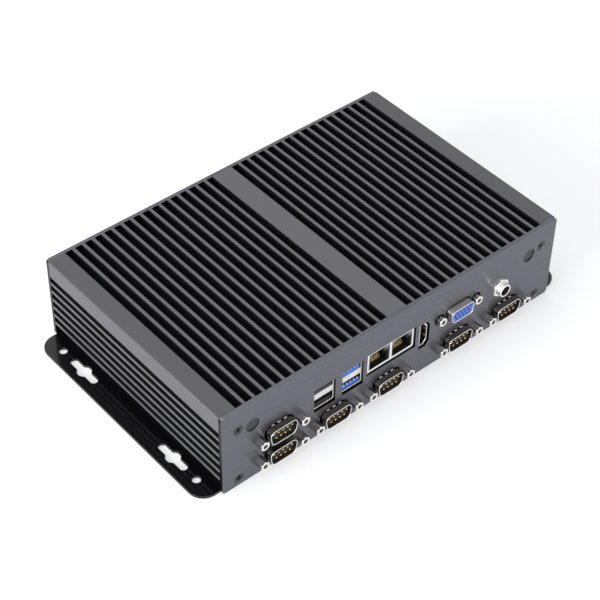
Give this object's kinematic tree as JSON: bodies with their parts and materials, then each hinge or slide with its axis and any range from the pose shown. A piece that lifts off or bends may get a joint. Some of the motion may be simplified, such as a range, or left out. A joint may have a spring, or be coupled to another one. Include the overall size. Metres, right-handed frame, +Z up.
{
  "type": "fanless industrial computer",
  "caption": "Low finned aluminium computer housing with brushed end panels, a row of cable sockets on its front and slotted mounting flanges.",
  "frame": {"origin": "centre of the four mounting holes, on the underside of the base plate", "axes": "+X along the front panel towards the power inlet, +Y from the front panel to the rear panel, +Z up"},
  "size_m": [0.244, 0.1481, 0.052],
  "materials": {
    "heatsink": "dark anodised extrusion with bare brushed fin tips",
    "end_panel": "grey anodised sheet, brushed along its length",
    "black_paint": "glossy black paint on steel sheet",
    "screw": "dark nickel plate",
    "nickel": "bright nickel plate",
    "jackscrew": "nickel plate, turned",
    "tin": "tin plate",
    "black_plastic": "moulded, matt",
    "blue_plastic": "moulded, matt",
    "bright_blue_plastic": "moulded, matt",
    "gold": "gold flash over nickel",
    "inlet_metal": "bright nickel plate",
    "light_pipe": "clear, slightly milky",
    "switch_metal": "turned stainless steel",
    "board": "green solder mask on glass laminate",
    "copper": "bare copper",
    "pad": "soft, dull",
    "cell": "plain steel can"
  },
  "bodies": {
    "chassis": {"base_plate": "black_paint", "base_screws": "screw", "board_link": "black_plastic", "board_screws": "screw", "board_standoffs": "jackscrew", "coin_cell": "cell", "drive_module": "board", "drive_socket": "black_plastic", "fast_data_contacts": "gold", "fast_data_shell": "nickel", "fast_data_tongues": "bright_blue_plastic", "front_panel": "end_panel", "front_panel_screws": "screw", "hd_video_core": "black_plastic", "hd_video_shell": "nickel", "heat_spreader": "copper", "heatsink_shell": "heatsink", "inlet_barrel": "nickel", "inlet_body": "black_plastic", "inlet_nut": "nickel", "inlet_pin": "inlet_metal", "main_board": "board", "memory_module": "board", "memory_socket": "black_plastic", "network_contacts": "gold", "network_cores": "black_plastic", "network_lights": "light_pipe", "network_shield": "tin", "power_coils": "black_plastic", "processor": "black_plastic", "rear_panel": "end_panel", "rear_panel_screws": "screw", "serial_board": "board", "serial_core_1": "black_plastic", "serial_core_2": "black_plastic", "serial_core_3": "black_plastic", "serial_core_4": "black_plastic", "serial_core_5": "black_plastic", "serial_core_6": "black_plastic", "serial_jackscrews": "jackscrew", "serial_pins": "gold", "serial_shell_1": "nickel", "serial_shell_2": "nickel", "serial_shell_3": "nickel", "serial_shell_4": "nickel", "serial_shell_5": "nickel", "serial_shell_6": "nickel", "slow_data_contacts": "gold", "slow_data_shell": "nickel", "slow_data_tongues": "black_plastic", "status_lights": "light_pipe", "switch_body": "switch_metal", "switch_nut": "switch_metal", "thermal_pad": "pad", "video_core": "blue_plastic", "video_jackscrews": "jackscrew", "video_shell": "nickel"},
    "button": {"power_button": "switch_metal"}
  },
  "joints": [
    {"name": "power_button_press", "type": "slide", "parent": "chassis", "child": "button", "axis": [0, -1, 0], "range_m": [0, 0.0012], "stiffness_N_per_m": 500, "springref_m": -0.002}
  ]
}
